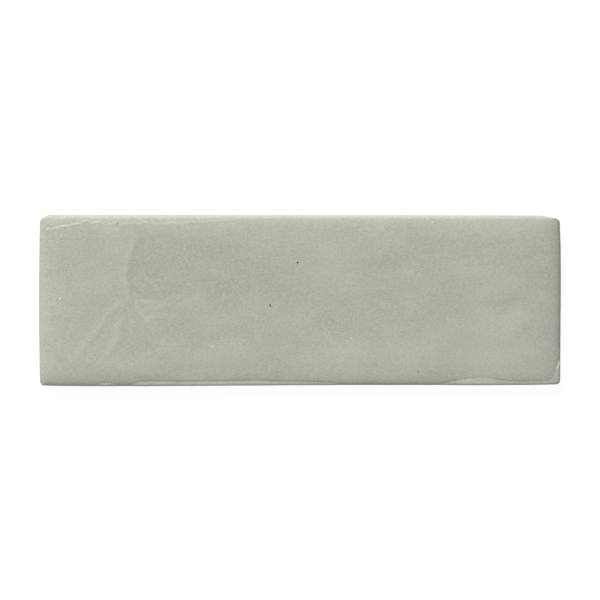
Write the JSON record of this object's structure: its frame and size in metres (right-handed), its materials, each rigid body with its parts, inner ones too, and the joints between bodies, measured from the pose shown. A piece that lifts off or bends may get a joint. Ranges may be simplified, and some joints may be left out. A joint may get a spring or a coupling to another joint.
{
  "type": "glazed wall tile",
  "caption": "Long rectangular ceramic wall tile with a wavy, cushioned glazed face, soft irregular edges and a flat keyed bed face.",
  "frame": {"origin": "centre of the bed face, the flat back that goes into the adhesive", "axes": "+X along the tile, +Y across it, +Z out of the bed towards the glazed face"},
  "size_m": [0.2, 0.0656, 0.0085],
  "materials": {
    "glaze": "satin glaze, warm grey, on a pale fired clay body"
  },
  "bodies": {
    "root": {"tile": "glaze"}
  },
  "joints": []
}
